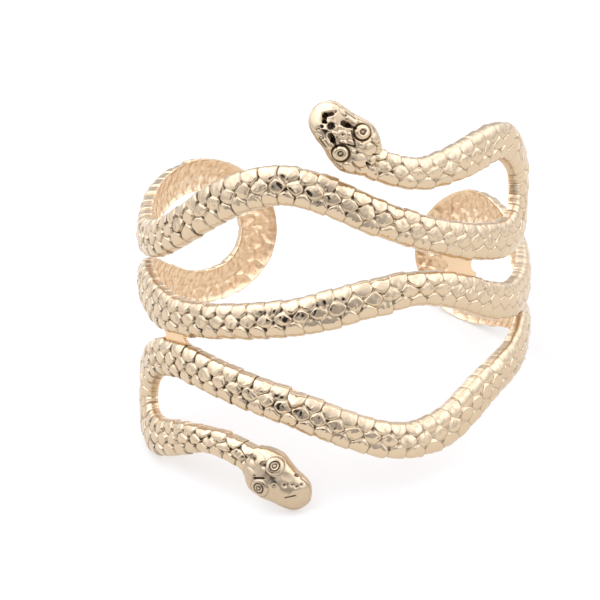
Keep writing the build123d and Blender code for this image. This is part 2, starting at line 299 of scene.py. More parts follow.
# %% Points round the section
OUTSIDE, RIM, BACK = 0, 1, 2
RIM_COLUMNS = [
    # place across as a share of the width, level as a share of the rim's height
    (0.500, 0.55), (0.498, 0.28), (0.490, 0.10), (0.474, 0.02),
]
BACK_SHARE = 0.445
# millimetres that the band strays, and millimetres each way over which its direction is taken
STRAY = 0.16
AIM = 0.2


def section_columns(middle_count, side_count, back_count):
    """Where each column of the mesh runs: its zone, its place across and its level on the rim."""
    middle = np.linspace(-SEAM_SHARE, SEAM_SHARE, middle_count + 1)
    reach = np.sin(np.linspace(0, math.pi / 2, side_count + 1))[1:]
    side = SEAM_SHARE + (0.5 - SEAM_SHARE) * reach
    columns = [(OUTSIDE, share, 1.0) for share in np.concatenate([-side[::-1], middle, side])]
    columns += [(RIM, share, level) for share, level in RIM_COLUMNS]
    back = np.linspace(BACK_SHARE, -BACK_SHARE, back_count + 1)
    columns += [(BACK, share, 0.0) for share in back]
    columns += [(RIM, -share, level) for share, level in reversed(RIM_COLUMNS)]
    return np.array(columns)


def bare_skin(distance, columns):
    """The smooth surface before any relief, and each point's place across as a share."""
    zone, share, level = columns.T
    share = np.where(zone == RIM, share, follow_seam(distance[:, None], share[None, :]))
    nearest = np.minimum(*from_noses(distance))[:, None]
    astray = STRAY * ease((nearest - FOLLOW_FROM) / FOLLOW_OVER)
    place = distance[:, None] + astray * waves(distance[:, None], 7 * share, 5)
    width, thickness, flatness, rounding = sizes_at(place)
    full = np.clip(1 - np.abs(2 * share) ** flatness, 0, None) ** (EDGE_SLANT / flatness)
    depth = np.where(zone == OUTSIDE, RIM_HEIGHT + (thickness - RIM_HEIGHT) * full, 0)
    depth = np.where(zone == RIM, RIM_HEIGHT * level, depth)
    depth = np.where(zone == BACK, BACK_HOLLOW * (1 - (2 * share) ** 2), depth)
    depth = RIM_HEIGHT + (depth - RIM_HEIGHT) * rounding
    along, height, _ = np.moveaxis(along_course(place), -1, 0)
    ahead = along_course(place + AIM) - along_course(place - AIM)
    ahead_x, ahead_z, _ = np.moveaxis(ahead, -1, 0)
    length = np.hypot(ahead_x, ahead_z)
    inside = 1 - (2 * share) ** 2
    across = share * width + astray * inside * waves(distance[:, None], 7 * share, 6)
    across = across * rounding
    angle = (along - ahead_z / length * across) / MID_RADIUS
    height = height + ahead_x / length * across
    radius = BACK_RADIUS + depth
    return np.stack([radius * np.sin(angle), -radius * np.cos(angle), height], axis=-1), share


def outward(grid):
    """Unit normals of a closed band of points, pointing out of the metal."""
    down = np.gradient(grid, axis=0)
    around = (np.roll(grid, -1, axis=1) - np.roll(grid, 1, axis=1)) / 2
    normal = np.cross(down, around)
    length = np.linalg.norm(normal, axis=2, keepdims=True)
    return normal / np.maximum(length, 1e-9)


probe, _ = bare_skin(np.linspace(20, 600, 2000), section_columns(8, 9, 9))
middle = probe.mean(axis=1, keepdims=True)
print("normals point out:", float(((probe - middle) * outward(probe)).sum(axis=2).mean()) > 0)

# %% [markdown]
# ## Scales
# Each scale is a low plate with round shoulders and a narrow valley about it. They lie in three
# rows: tall plates along both edges and lozenges between them, half a step further on, as bricks
# are laid. All of them rise a little toward the right of the cuff, as the real ones do, and
# each one leans its own way besides by a few degrees, as cast and polished ones do, so each mirrors
# another bit of the room. Where corners of scales meet there is a small pit. At the front, shade is
# painted into the pits and into the steps at the right-hand ends, for the dark lens that they mirror.
# Displacing real points, and not a bump in the shader, also notches the outline, and that is what
# the eye looks for in a scaled body.

# %% The relief of the body
# a scale's height, shoulder and dome in millimetres, and how much higher its right-hand end is
SCALE_RISE = 0.19
SCALE_SHOULDER = 0.34
SCALE_DOME = 0.06
SCALE_LIFT = 0.24
# the zigzag runs slantwise, so the way to it is shorter than the way across
SEAM_LEAN = 0.82
# each scale's own lean along and across, with the middles and half widths of the rows as shares
LEAN = 0.10
LOZENGE_HALF = 0.20
EDGE_MIDDLE = 0.36
EDGE_HALF = 0.14
SCALES_BEFORE = 10
SPARE_SCALES = 40
LEANING = np.random.default_rng(11).normal(0, LEAN, (SCALE_COUNT + SPARE_SCALES, 3, 2))
# scales get lower toward the rims, and their faces are a little uneven
LOWER_FROM = 0.33
LOWER_AT_RIM = 0.1
UNEVEN, UNEVEN_PACE = 0.045, 1.8
RIPPLE, RIPPLE_PACE = 0.02, 3.6
# pits, and the shade painted into them about the front: degrees round the cuff, then how dark from 0
# to 1
PIT_SIZE = 0.36
PIT_DEPTH = 0.16
PIT_SHADE_ANGLE, PIT_SHADE_REACH = -12.0, 42.0
PIT_SHADE_MEAN, PIT_SHADE_SWING, PIT_SHADE_LEAST = 0.55, 1.2, 0.25
# painted shade: the dark line in every valley, and the dark strokes at the right-hand ends
LINE_WIDTH = 0.13
LINE_SHADE = 0.22
STROKE_SHADE = 0.95
STROKE_ANGLE, STROKE_REACH = -28.0, 38.0
STROKE_MEAN = 0.45
STROKE_SIDED = 3


def pillow(inward, shoulder):
    """Height of a pillow, 0 at its edge and 1 at the top, by the distance in from its edge."""
    return 1 - (1 - np.clip(inward / shoulder, 0, 1)) ** 2


def near_angle(distance, angle, reach):
    """1 about an angle round the cuff, fading out from a half to one and a half of its reach."""
    here = np.degrees(along_course(distance)[..., 0] / MID_RADIUS)
    return np.clip(1.5 - np.abs(here - angle) / reach, 0, 1)


def scale_relief(distance, share, width):
    """Height of the scales, the distance in from their edge, and the shade painted into valleys and
    pits.
    """
    phase = (distance - BODY_START) / SCALE_STEP
    past_seam = (np.abs(share) - seam_at(distance, share)) * width * SEAM_LEAN
    to_whole = np.abs(phase - np.round(phase)) * SCALE_STEP
    to_half = SCALE_STEP / 2 - to_whole
    lozenge = past_seam < 0
    inward = np.where(lozenge, np.minimum(-past_seam, to_whole), np.minimum(past_seam, to_half))
    phase = np.where(lozenge, phase, phase + 0.5)
    number = np.clip(np.floor(phase).astype(int) + SCALES_BEFORE, 0, len(LEANING) - 1)
    lean = LEANING[number, np.where(lozenge, 1, 1 + np.sign(share).astype(int))]
    back = phase - np.floor(phase) - 0.5
    aside = np.where(lozenge, share / LOZENGE_HALF, (np.abs(share) - EDGE_MIDDLE) / EDGE_HALF)
    to_right = along_course(distance + 0.5)[..., 0] - along_course(distance - 0.5)[..., 0]
    top = SCALE_RISE + (SCALE_LIFT * to_right + lean[..., 0]) * back + lean[..., 1] * aside
    rise = top * pillow(inward, SCALE_SHOULDER) + SCALE_DOME * pillow(inward, SCALE_STEP / 2)
    rise += UNEVEN * waves(UNEVEN_PACE * distance, UNEVEN_PACE * share * width, 3)
    rise += RIPPLE * waves(RIPPLE_PACE * distance, RIPPLE_PACE * share * width, 4)
    pit = np.exp(-((np.hypot(past_seam, np.minimum(to_whole, to_half)) / PIT_SIZE) ** 4))
    # painted shade in the pits about the front, patchy, standing for the dark lens mirrored in them
    patchy = PIT_SHADE_MEAN + PIT_SHADE_SWING * waves(1.3 * distance, 9 * share, 9)
    pit_shade = near_angle(distance, PIT_SHADE_ANGLE, PIT_SHADE_REACH) * np.clip(patchy, PIT_SHADE_LEAST, 1)
    # painted shade: dark strokes at the right-hand ends of scales about the front, for the lens
    # mirrored in the steps
    patchy = np.clip(STROKE_MEAN + waves(1.7 * distance, 8 * share, 10), 0, 1)
    stroke = near_angle(distance, STROKE_ANGLE, STROKE_REACH) * patchy
    stroke = stroke * ease(0.5 + STROKE_SIDED * to_right * back)
    # painted shade in every valley, with the strokes on top of it
    line = (LINE_SHADE + STROKE_SHADE * stroke) * np.exp(-((inward / LINE_WIDTH) ** 2))
    lower = 1 - LOWER_AT_RIM * ease((np.abs(share) - LOWER_FROM) / (0.5 - LOWER_FROM))
    height = lower * (rise - SCALE_RISE - PIT_DEPTH * pit)
    return height, inward, np.maximum(line, pit_shade * pit)


sample_rows = np.linspace(BODY_START, BODY_END, 3000)[:, None]
sample_shares = np.linspace(-0.5, 0.5, 41)
sample = scale_relief(sample_rows, sample_shares, BODY_WIDTH)[0]
print("scales, mm from", round(sample.min(), 2), "to", round(sample.max(), 2))

# %% [markdown]
# ## The hammered back
# The inside of the band was never meant to shine. It carries shallow dimples, one behind each
# scale and none quite like the next, so it scatters the light and looks warmer than the outside.

# %% The relief of the back
DIMPLE_DEPTH = 0.22
DIMPLE_SHOULDER = 1.3
HAMMER = 0.05
PLAIN_MARGIN = 0.10
# painted shade in the low spots of the hammering: a base darkness and how much it swings
BACK_SHADE, BACK_SHADE_SWING = 0.08, 0.5


def back_relief(distance, share, width, inward):
    """Height of the dimpled back and the shade painted into its low spots."""
    edge = np.clip((0.5 - np.abs(share)) / PLAIN_MARGIN, 0, 1)
    wobble = waves(2.3 * distance, 3.2 * share * width, 7)
    rise = edge * (HAMMER * wobble - DIMPLE_DEPTH * pillow(inward, DIMPLE_SHOULDER))
    return rise, edge * np.clip(BACK_SHADE - BACK_SHADE_SWING * wobble, 0, 1)


sample = back_relief(sample_rows, sample_shares, BODY_WIDTH, SCALE_STEP / 4)[0]
print("back, mm from", round(sample.min(), 2), "to", round(sample.max(), 2))

# %% [markdown]
# ## Heads
# A head is small, about 14 mm, and crowded: domed eyes in ring grooves, a deep channel running
# forward from each, a hooked cut in a scooped snout, plates on the brow and behind the eyes, and
# the line of the mouth round the side. Nearly all of it is shallow, so it is drawn as heights over
# the top of the head too, with distances in millimetres from the nose and from the middle. Eyes,
# plates, grooves and pits are given for one side and mirrored. Scoops and the lone marks lie where
# they are written, and aside is then counted upward in the front view. The two heads aren't twins:
# the lower one is plainer and a little duller, with small ringed eyes in wide soft domes, two short
# cuts and a few pits.

# %% Marks of the upper head
EYE_ALONG = 9.0
EYE_ASIDE = 2.65
UPPER_CUTS = {
    # how far back the mouth's line runs, how dull the whole head is, and how much darker all over it
    # is made
    "mouth_end": 10.8,
    "satin": 0.0,
    "darkening": 0.0,
    "eye": [
        # from the middle of the eye, height
        (0.00, 0.48), (0.16, 0.44), (0.34, 0.18), (0.48, 0.22), (0.62, 0.44), (0.92, 0.44),
        (1.16, 0.30), (1.34, 0.06), (1.43, -0.28), (1.58, -0.32), (1.70, -0.06), (2.05, 0.00),
    ],
    # radius round the eye, half width, darkness
    "rings": [(1.51, 0.15, 0.9), (0.42, 0.12, 0.9), (0.0, 0.40, 0.4)],
    # along, aside, half length, half width, rise
    "plates": [(6.9, 0.0, 0.95, 0.85, 0.20), (5.0, 0.0, 0.62, 0.5, 0.16),
               (12.2, 1.3, 1.3, 1.2, 0.18), (11.7, 3.5, 1.2, 0.85, 0.16),
               (9.2, 0.0, 1.0, 0.6, 0.18), (5.4, 3.2, 2.2, 0.8, 0.12),
               (14.2, 0.0, 0.95, 1.0, 0.18), (10.6, 0.95, 0.65, 0.6, 0.16),
               (8.1, 0.95, 0.8, 0.6, 0.14), (5.8, 0.8, 0.55, 0.5, 0.12)],
    # along, aside, half length, half width, depth, darkness
    "scoops": [(3.2, 0.0, 1.6, 1.8, 0.28, 0.0), (4.45, -0.25, 0.80, 0.85, 0.5, 1.0),
               (3.4, -1.4, 0.42, 0.36, 0.3, 1.0)],
    # along and aside of one end, then of the other, half width, depth, darkness
    "grooves": [(5.6, 1.62, 6.3, 1.85, 0.52, 0.50, 1.0), (6.3, 1.85, 7.7, 2.3, 0.30, 0.42, 1.0),
                (7.5, 1.5, 9.9, 0.0, 0.16, 0.26, 0.9), (4.5, 3.1, 6.6, 3.45, 0.12, 0.16, 0.7),
                (11.4, 2.45, 13.2, 2.6, 0.14, 0.18, 0.5), (13.2, 0.9, 14.3, 1.5, 0.16, 0.2, 0.9)],
    # along, aside, radius, depth
    "pits": [(6.9, 0.0, 0.28, 0.36), (5.0, 0.0, 0.2, 0.24), (3.3, 2.1, 0.24, 0.22),
             (5.0, 2.75, 0.24, 0.24)],
    # as grooves and pits, on one side only
    "lone_grooves": [(3.0, 1.5, 2.2, 0.4, 0.42, 0.44, 1.0), (2.2, 0.4, 2.9, -0.5, 0.40, 0.44, 1.0),
                     (13.2, -0.9, 14.0, -0.9, 0.17, 0.2, 1.0),
                     (2.9, -0.5, 3.4, -0.4, 0.22, 0.3, 0.9)],
    "lone_pits": [(9.8, -0.2, 0.30, 0.26), (10.9, -0.55, 0.36, 0.30)],
}
print("grooves and pits of the upper head:", len(UPPER_CUTS["grooves"] + UPPER_CUTS["pits"]),
      "mirrored and", len(UPPER_CUTS["lone_grooves"] + UPPER_CUTS["lone_pits"]), "alone")

# %% Marks of the lower head
LOWER_CUTS = {
    # the same columns as above
    "mouth_end": 3.6,
    "satin": 0.35,
    "darkening": 0.13,
    "eye": [
        (0.00, 0.36), (0.24, 0.32), (0.44, 0.18), (0.58, 0.32), (0.74, 0.36), (0.90, 0.14),
        (1.04, 0.26), (1.35, 0.22), (1.68, 0.10), (1.86, -0.06), (2.05, 0.00),
    ],
    "rings": [(0.90, 0.16, 1.0), (0.38, 0.14, 0.9), (1.85, 0.12, 0.5)],
    "plates": [(12.3, 1.75, 1.55, 1.15, 0.09)],
    "scoops": [(6.0, -2.3, 1.9, 1.1, 0.14, 0.0), (2.6, -1.6, 1.3, 1.4, 0.12, 0.0),
               (5.9, 2.3, 1.5, 0.9, 0.12, 0.0), (4.6, 3.35, 0.5, 0.35, 0.20, 0.8)],
    "grooves": [],
    "pits": [],
    "lone_grooves": [(9.3, -0.5, 10.9, -1.8, 0.22, 0.24, 1.0),
                     (4.0, -1.4, 2.6, 0.0, 0.15, 0.22, 0.8)],
    "lone_pits": [(6.9, -0.4, 0.30, 0.28), (5.4, 0.75, 0.42, 0.34), (4.2, 1.55, 0.30, 0.28),
                  (3.3, 1.7, 0.34, 0.30), (2.8, 2.4, 0.28, 0.26), (10.8, 1.6, 0.46, 0.34),
                  (13.2, 1.2, 0.50, 0.36)],
}
print("grooves and pits of the lower head:",
      len(LOWER_CUTS["lone_grooves"] + LOWER_CUTS["lone_pits"]), "alone")

# %% The relief of the heads
EYE_REACH = 2.05
EYE_BLEND = 0.4
PLATE_SHOULDER = 0.35
PLATE_DOME = 0.10
PLATE_OUTLINE = 0.35
OUTLINE_WIDTH = 0.10
SCOOP_SHADE = 2.5
HEAD_UNEVEN, HEAD_PACE = 0.06, 1.1
MOUTH_SHARE = 0.455
MOUTH_WIDTH = 0.022
MOUTH_DEPTH = 0.26
MOUTH_SHADE = 0.5


def from_line(along, aside, start, end):
    """Distance of points from a straight groove's middle."""
    reach = np.array(end) - np.array(start)
    share = ((along - start[0]) * reach[0] + (aside - start[1]) * reach[1]) / (reach @ reach)
    share = np.clip(share, 0, 1)
    return np.hypot(along - start[0] - share * reach[0], aside - start[1] - share * reach[1])


def head_relief(along, share, width, cuts):
    """Height of a head's relief and how dark it is painted, from 0 to 1."""
    beside = np.abs(share * width)
    aside = share * width
    rise = np.zeros(np.broadcast(along, share).shape)
    shade = np.full_like(rise, cuts["darkening"])
    # shade is painted into plate outlines, scoops, grooves, pits, the mouth and the eye rings
    for middle, off, half_length, half_width, top in cuts["plates"]:
        out = np.hypot((along - middle) / half_length, (beside - off) / half_width)
        inward = (1 - out) * min(half_length, half_width)
        swell = PLATE_DOME * np.clip(1 - out**2, 0, 1)
        rise = np.maximum(rise, top * pillow(inward, PLATE_SHOULDER) + swell)
        shade = np.maximum(shade, PLATE_OUTLINE * np.exp(-((inward / OUTLINE_WIDTH) ** 2)))
    for middle, off, half_length, half_width, deep, dark in cuts["scoops"]:
        out = np.hypot((along - middle) / half_length, (aside - off) / half_width)
        cut = np.clip(1 - out**2, 0, 1)
        rise = rise - deep * cut**1.5
        shade = np.maximum(shade, dark * np.clip(SCOOP_SHADE * cut, 0, 1))
    grooves = [(beside, groove) for groove in cuts["grooves"]]
    grooves += [(aside, groove) for groove in cuts["lone_grooves"]]
    for where, (along_1, aside_1, along_2, aside_2, wide, deep, dark) in grooves:
        off = from_line(along, where, (along_1, aside_1), (along_2, aside_2))
        cut = np.exp(-((off / wide) ** 4))
        rise = rise - deep * cut
        shade = np.maximum(shade, dark * cut)
    pits = [(beside, pit) for pit in cuts["pits"]] + [(aside, pit) for pit in cuts["lone_pits"]]
    for where, (middle, off, radius, deep) in pits:
        cut = np.exp(-((np.hypot(along - middle, where - off) / radius) ** 2))
        rise = rise - deep * cut
        shade = np.maximum(shade, cut)
    rise = rise + HEAD_UNEVEN * waves(HEAD_PACE * along, HEAD_PACE * share * width, 8)
    mouth = np.exp(-(((np.abs(share) - MOUTH_SHARE) / MOUTH_WIDTH) ** 2))
    mouth = mouth * (along < cuts["mouth_end"])
    rise = rise - MOUTH_DEPTH * mouth
    shade = np.maximum(shade, MOUTH_SHADE * mouth)
    eye = np.hypot(along - EYE_ALONG, beside - EYE_ASIDE)
    near = np.clip((EYE_REACH - eye) / EYE_BLEND, 0, 1)
    rise = rise * (1 - near) + np.interp(eye, *np.transpose(cuts["eye"])) * near
    for radius, half_width, dark in cuts["rings"]:
        shade = np.maximum(shade, dark * np.exp(-(((eye - radius) / half_width) ** 4)))
    return rise, shade


head_rows = np.linspace(0, HEAD_LENGTH, 400)[:, None]
for cuts in (UPPER_CUTS, LOWER_CUTS):
    sample = head_relief(head_rows, sample_shares, HEAD_WIDTH, cuts)[0]
    print("a head's marks, mm from", round(sample.min(), 2), "to", round(sample.max(), 2))

# %% [markdown]
# ## From heights to metal
# The snake is cut into five pieces so that each can be meshed as finely as it needs: two heads and
# three coils. Neighbours end on the same row, and every point is given the normal of the whole
# surface, so no seam shows where two pieces meet. Two masks are kept with the points as attributes,
# because shade is painted into valleys, pits, grooves and dimples as a darker tone, plate is duller
# there and near the rims, and the material reads them.

# %% Heights over the bare skin
# millimetres behind the nose at which a head's relief gives way to scales, and over which it does
HEAD_END = 14.9
HEAD_MERGE = 1.1
# where plate starts to get dull toward the rim, and the level under which the rim has no relief
DULL_FROM = 0.36
RIM_HOLD = 0.30


def relief(distance, columns, share):
    """Heights over the bare skin, how dark it is painted and how dull it is there, for rows of
    points.
    """
    width = sizes_at(distance)[0][:, None]
    zone, _, level = columns.T
    rows = distance[:, None]
    body, inward, valley = scale_relief(rows, share, width)
    back, back_shade = back_relief(rows, share, width, inward)
    dull = np.where(zone == OUTSIDE, ease((np.abs(share) - DULL_FROM) / (0.5 - DULL_FROM)), 1)
    for along, size, cuts in zip(from_noses(rows), (UPPER_HEAD, LOWER_HEAD),
                                 (UPPER_CUTS, LOWER_CUTS)):
        head, groove = head_relief(along, share, width / size, cuts)
        on_head = ease((HEAD_END - along) / HEAD_MERGE)
        body = body * (1 - on_head) + head * size * on_head
        valley = valley * (1 - on_head) + groove * on_head
        dull = np.maximum(dull, cuts["satin"] * on_head)
    height = np.where(zone == BACK, back, body * ease(level / RIM_HOLD))
    return height, np.where(zone == BACK, back_shade, valley), np.broadcast_to(dull, height.shape)


sample_columns = section_columns(8, 9, 9)
_, shares = bare_skin(sample_rows[:, 0], sample_columns)
sample = relief(sample_rows[:, 0], sample_columns, shares)[1]
print("share of the body in shade:", round(float(sample.mean()), 3))


# %% A mesh with its own normals
def dress(name, mesh):
    """Put a mesh in the scene as a piece that stands in for the solid."""
    piece = bpy.data.objects.new(name, mesh)
    bpy.context.scene.collection.objects.link(piece)
    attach(piece, "root")
    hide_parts("serpent_cuff")
    print(name, len(mesh.polygons), "faces")


def smooth_piece(name, points, normals, faces, masks, materials, face_materials):
    """A piece with its own point normals and masks for the material."""
    mesh = bpy.data.meshes.new(name)
    mesh.from_pydata(on_table(points.reshape(-1, 3)).tolist(), [], faces)
    for material in materials:
        mesh.materials.append(material)
    mesh.polygons.foreach_set("material_index", face_materials)
    mesh.polygons.foreach_set("use_smooth", [True] * len(mesh.polygons))
    for kind, values in masks.items():
        mask = mesh.attributes.new(kind, "FLOAT", "POINT")
        mask.data.foreach_set("value", values.astype(np.float32).ravel())
    mesh.normals_split_custom_set_from_vertices((normals.reshape(-1, 3) @ lay_down.T).tolist())
    mesh.update()
    dress(name, mesh)


# %% Rows of points and a piece on them
NOSE_ROWS = 20
SCALE_ROWS = 18
ROWS_DRAWN_IN = 0.55


def rows_from_nose(length, step):
    """Distances of rows from the nose, packed closer and closer toward its tip."""
    count = round(length / step + NOSE_ROWS / 2)
    step = length / (count - NOSE_ROWS / 2)
    row = np.arange(1, count + 1)
    return np.where(row < NOSE_ROWS, row**2 / (2 * NOSE_ROWS), row - NOSE_ROWS / 2) * step


def rows_of_scales(first, last):
    """Distances of rows from one scale to another, with rows on every valley and close by it."""
    phase = np.arange(first * SCALE_ROWS, last * SCALE_ROWS + 1) / SCALE_ROWS
    phase = phase - ROWS_DRAWN_IN * np.sin(4 * math.pi * phase) / (4 * math.pi)
    return BODY_START + SCALE_STEP * phase


def band_piece(name, distance, counts, materials, nose=None):
    """A stretch of the snake on rows at these distances, closed at its first or last row."""
    columns = section_columns(*counts)
    padded = np.concatenate([[2 * distance[0] - distance[1]], distance,
                             [2 * distance[-1] - distance[-2]]])
    bare, share = bare_skin(padded, columns)
    height, valley, dull = relief(padded, columns, share)
    grid = bare + outward(bare) * height[:, :, None]
    normals = outward(grid)[1:-1]
    grid = grid[1:-1]
    masks = {"valley": valley[1:-1], "edge": dull[1:-1]}
    rows, across = grid.shape[:2]
    index = np.arange(rows * across).reshape(rows, across)
    onward = np.roll(index, -1, axis=1)
    faces = np.stack([index[:-1], index[1:], onward[1:], onward[:-1]], axis=-1).reshape(-1, 4)
    faces = faces.tolist()
    inner = (columns[:, 0] != OUTSIDE) & (np.roll(columns[:, 0], -1) != OUTSIDE)
    kinds = np.tile(inner, rows - 1).astype(int).tolist()
    if nose is not None:
        faces.append(index[0].tolist() if nose == "first" else index[-1].tolist()[::-1])
        kinds.append(0)
    smooth_piece(name, grid, normals, faces, masks, materials, kinds)


print("rows on the first two scales:", len(rows_of_scales(0, 2)))

# %% [markdown]
# ## Plate
# The finish is thin gold over zinc: bright where it was polished, duller down in the valleys that
# the wheel can't reach, and finely grained where it was not polished at all. Shade is painted into
# the valleys, pits, grooves and dimples as a darker tone. All finishes of the cuff, polished outside,
# hammered inside and as cast on the webs, need that same change of tone and a grain, so both are one
# node group with colours and amounts as inputs. It reads the masks that were stored with the points.
# The metal itself stays in each material.

# %% Node group: painted shade, mottle and grain of the plate
def add_node(tree, kind, **values):
    """A node with its settings and its unlinked inputs filled in."""
    node = tree.nodes.new(kind)
    for key, value in values.items():
        if hasattr(node, key):
            setattr(node, key, value)
        else:
            node.inputs[key.replace("_", " ")].default_value = value
    return node


def plate_shade_and_mottle_group():
    """Colour, roughness and grain of plating, from clean and recess tones, painted shade and mottle.
    """
    tree = bpy.data.node_groups.new("plate shade and mottle", "ShaderNodeTree")
    for name in ("Clean", "Recess"):
        tree.interface.new_socket(name, in_out="INPUT", socket_type="NodeSocketColor")
    for name in ("Mottle", "Smooth", "Dull", "Grain Scale"):
        tree.interface.new_socket(name, in_out="INPUT", socket_type="NodeSocketFloat")
    tree.interface.new_socket("Color", in_out="OUTPUT", socket_type="NodeSocketColor")
    for name in ("Roughness", "Grain"):
        tree.interface.new_socket(name, in_out="OUTPUT", socket_type="NodeSocketFloat")
    given = tree.nodes.new("NodeGroupInput")
    result = tree.nodes.new("NodeGroupOutput")
    valley = add_node(tree, "ShaderNodeAttribute", attribute_name="valley")
    edge = add_node(tree, "ShaderNodeAttribute", attribute_name="edge")
    place = add_node(tree, "ShaderNodeTexCoord")
    cloud = add_node(tree, "ShaderNodeTexNoise", Scale=260.0, Detail=3.0)
    grain = add_node(tree, "ShaderNodeTexNoise", Detail=2.0)
    patch = add_node(tree, "ShaderNodeMath", operation="MULTIPLY")
    shade_and_mottle = add_node(tree, "ShaderNodeMath", operation="ADD", use_clamp=True)
    either = add_node(tree, "ShaderNodeMath", operation="MAXIMUM")
    tone = add_node(tree, "ShaderNodeMix", data_type="RGBA")
    gloss = add_node(tree, "ShaderNodeMix", data_type="FLOAT")
    link = tree.links.new
    link(place.outputs["Object"], cloud.inputs["Vector"])
    link(cloud.outputs["Fac"], patch.inputs[0])
    link(given.outputs["Mottle"], patch.inputs[1])
    # painted shade: the valley mask darkens the clean tone toward the recess tone, and the cloud adds
    # a random mottle
    link(valley.outputs["Fac"], shade_and_mottle.inputs[0])
    link(patch.outputs[0], shade_and_mottle.inputs[1])
    link(shade_and_mottle.outputs[0], tone.inputs[0])
    link(given.outputs["Clean"], tone.inputs[6])
    link(given.outputs["Recess"], tone.inputs[7])
    link(shade_and_mottle.outputs[0], either.inputs[0])
    link(edge.outputs["Fac"], either.inputs[1])
    link(either.outputs[0], gloss.inputs[0])
    link(given.outputs["Smooth"], gloss.inputs[2])
    link(given.outputs["Dull"], gloss.inputs[3])
    link(place.outputs["Object"], grain.inputs["Vector"])
    link(given.outputs["Grain Scale"], grain.inputs["Scale"])
    link(tone.outputs[2], result.inputs["Color"])
    link(gloss.outputs[0], result.inputs["Roughness"])
    link(grain.outputs["Fac"], result.inputs["Grain"])
    return tree


PLATE_SHADE_AND_MOTTLE = plate_shade_and_mottle_group()
print("plate shade and mottle has", [s.name for s in PLATE_SHADE_AND_MOTTLE.interface.items_tree])

# %% The three finishes
GRAIN_HEIGHT = 0.0002


def plate(name, grain, **shade_and_mottle):
    """A plated metal: the shade and mottle group gives colour, gloss and grain, and grain is its
    strength.
    """
    material = bpy.data.materials.new(name)
    material.use_nodes = True
    tree = material.node_tree
    tree.nodes.clear()
    toned = add_node(tree, "ShaderNodeGroup", node_tree=PLATE_SHADE_AND_MOTTLE, **shade_and_mottle)
    bump = add_node(tree, "ShaderNodeBump", Strength=grain, Distance=GRAIN_HEIGHT)
    metal = add_node(tree, "ShaderNodeBsdfPrincipled", Metallic=1.0)
    result = add_node(tree, "ShaderNodeOutputMaterial")
    tree.links.new(toned.outputs["Grain"], bump.inputs["Height"])
    tree.links.new(bump.outputs["Normal"], metal.inputs["Normal"])
    tree.links.new(toned.outputs["Color"], metal.inputs["Base Color"])
    tree.links.new(toned.outputs["Roughness"], metal.inputs["Roughness"])
    tree.links.new(metal.outputs[0], result.inputs["Surface"])
    return material


# each recess colour is the painted shade of its finish; the webs carry no masks, so only the mottle
# reaches theirs
polished = plate("polished plate", 0.06, Grain_Scale=900.0, Clean=(0.68, 0.528, 0.352, 1),
                 Recess=(0.032, 0.021, 0.015, 1), Mottle=0.03, Smooth=0.09, Dull=0.30)
hammered = plate("hammered plate", 0.50, Grain_Scale=1200.0, Clean=(0.84, 0.63, 0.41, 1),
                 Recess=(0.52, 0.34, 0.19, 1), Mottle=0.10, Smooth=0.18, Dull=0.30)
unpolished = plate("unpolished plate", 0.10, Grain_Scale=900.0, Clean=(0.84, 0.605, 0.375, 1),
                   Recess=(0.52, 0.34, 0.19, 1), Mottle=0.06, Smooth=0.30, Dull=0.40)
print("finishes:", [m.name for m in (polished, hammered, unpolished)])

# %% [markdown]
# ## The body and the heads
# Now the five pieces can be made. The heads get a mesh three times as fine across as the coils and
# about twice as fine along, because their marks are finer than scales and cross it at any slant.

# %% Mesh the snake
HEAD_STEP = 0.085
# steps across the middle, across each side and across the back
COIL_MESH = (14, 17, 20)
HEAD_MESH = (42, 51, 60)
finishes = [polished, hammered]
turning = np.flatnonzero(np.diff(np.sign(np.diff(course[:, 0])))) + 1
left_loop, right_loop = [round((run[i] - BODY_START) / SCALE_STEP) for i in turning[1:3]]
first_rows = UPPER_NOSE + rows_from_nose(BODY_START + SCALE_STEP - UPPER_NOSE, HEAD_STEP)
last_rows = LOWER_NOSE - rows_from_nose(LOWER_NOSE - BODY_END + SCALE_STEP, HEAD_STEP)[::-1]
band_piece("upper_head", first_rows, HEAD_MESH, finishes, nose="first")
band_piece("upper_coil", rows_of_scales(1, left_loop), COIL_MESH, finishes)
band_piece("middle_coil", rows_of_scales(left_loop, right_loop), COIL_MESH, finishes)
band_piece("lower_coil", rows_of_scales(right_loop, SCALE_COUNT - 1), COIL_MESH, finishes)
band_piece("lower_head", last_rows, HEAD_MESH, finishes, nose="last")

# %% [markdown]
# ## Webs
# Two flat webs tie neighbouring strands together where they run close, one each side. In the
# mould they are what is left between two round-ended slots, so their free sides curve inward.
# They are plain and smooth, set back toward the inside of the band.

# %% Two webs
WEB_THICKNESS = 0.9
WEB_INSET = 0.3
WEB_BITE = 1.2
WEB_CORNER = 0.18
WEB_ROWS = 33
WEB_COLUMNS = 22
WEB_CREASE = math.radians(50)
WEBS = [
    # name, from and to in degrees, strand above
    ("right_web", 39.0, 48.5, 1),
    ("left_web", -57.0, -46.5, 2),
]
strands = np.split(course, turning)


def strand_edge(strand, along, side):
    """Height of a strand's upper (1) or lower (-1) edge at a place along the unrolled cuff."""
    rows = strands[strand]
    ahead = np.gradient(rows[:, :2], axis=0)
    upward = np.column_stack([-ahead[:, 1], ahead[:, 0]]) * np.sign(ahead[:, :1])
    upward /= np.linalg.norm(upward, axis=1)[:, None]
    edge = rows[:, :2] + side * upward * rows[:, 2:] / 2
    edge = edge[np.argsort(edge[:, 0])]
    return float(np.interp(along, edge[:, 0], edge[:, 1]))


